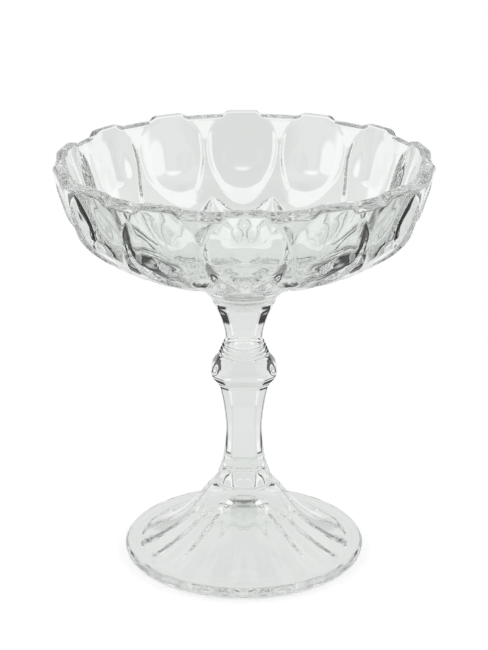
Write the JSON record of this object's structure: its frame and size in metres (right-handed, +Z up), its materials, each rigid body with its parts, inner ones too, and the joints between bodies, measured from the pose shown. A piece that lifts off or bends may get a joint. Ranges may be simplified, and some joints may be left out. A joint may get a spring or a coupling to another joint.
{
  "type": "compote bowl",
  "caption": "Clear pressed-glass compote: panelled bowl with a tabbed rim on a faceted knopped stem and hollow fluted foot, for serving fruit or sweets",
  "frame": {"origin": "centre of the foot's standing ring, on the table", "axes": "+Z up the stem's axis; -Y is the side the picture shows; +X to that viewer's right"},
  "size_m": [0.168, 0.1694, 0.191],
  "materials": {
    "clear_glass": "clear, fire polished, with faint wavy pressing marks"
  },
  "bodies": {
    "root": {"bowl": "clear_glass", "ringed_collar": "clear_glass", "stem": "clear_glass", "foot_wafer": "clear_glass", "foot": "clear_glass"}
  },
  "joints": []
}
